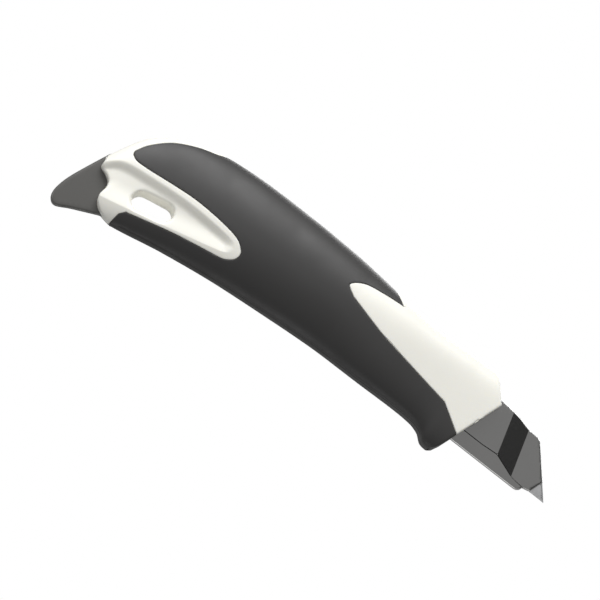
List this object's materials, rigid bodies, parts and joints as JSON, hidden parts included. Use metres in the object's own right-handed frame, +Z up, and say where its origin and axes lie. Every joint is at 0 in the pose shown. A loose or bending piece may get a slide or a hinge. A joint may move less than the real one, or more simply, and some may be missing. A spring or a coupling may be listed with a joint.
{
  "type": "utility knife",
  "caption": "Snap-off blade utility knife: steel nose sheath, two-shell handle with soft grip, sliding blade carriage with press-to-release lock, lanyard hole and steel pry tail.",
  "frame": {"origin": "on the surface that the knife stands on, midway along its length and on the parting plane of its two shells", "axes": "+X towards the blade tip, +Y towards the thumb slider's side, +Z up from the cutting edge side to the spine; the blade points 4.8 degrees nose-down, so that the finger guard and the tail plate's tip both touch the surface"},
  "size_m": [0.2204, 0.0249, 0.0525],
  "materials": {
    "shell_plastic": "satin ivory-white moulded ABS",
    "grip_elastomer": "matte dark grey moulded elastomer, fine texture",
    "sheath_steel": "dark grey coated sheet steel, satin",
    "tail_steel": "dark gunmetal coated steel plate, satin",
    "blade_steel": "ground tool steel",
    "spring_steel": "bright spring steel",
    "rack_steel": "plain stamped steel",
    "carriage_plastic": "black glass-filled nylon",
    "slider_plastic": "black satin moulded plastic",
    "slider_elastomer": "mid grey moulded elastomer",
    "fastener_steel": "dark plated steel"
  },
  "bodies": {
    "handle": {"right_shell": "shell_plastic", "left_shell": "shell_plastic", "right_grip": "grip_elastomer", "left_grip": "grip_elastomer", "blade_sheath": "sheath_steel", "rear_stop": "carriage_plastic", "sheath_pin": "spring_steel", "nose_spring": "spring_steel", "lock_rack": "rack_steel", "rack_rivets": "spring_steel", "tail_fin": "tail_steel", "tail_pins": "spring_steel", "shell_screws": "fastener_steel"},
    "carriage": {"snap_blade": "blade_steel", "blade_carriage": "carriage_plastic", "guide_posts": "spring_steel", "press_spring": "spring_steel"},
    "thumb": {"thumb_slider": "slider_plastic", "slider_ribs": "slider_elastomer", "lock_plate": "rack_steel", "plate_screws": "fastener_steel"}
  },
  "joints": [
    {"name": "blade_slide", "type": "slide", "parent": "handle", "child": "carriage", "axis": [0.9965, 0, -0.0839], "range_m": [-0.01, 0.06]},
    {"name": "lock_press", "type": "slide", "parent": "carriage", "child": "thumb", "axis": [0, 1, 0], "range_m": [0, 0.0012], "stiffness_N_per_m": 400, "springref_m": 0.004}
  ]
}
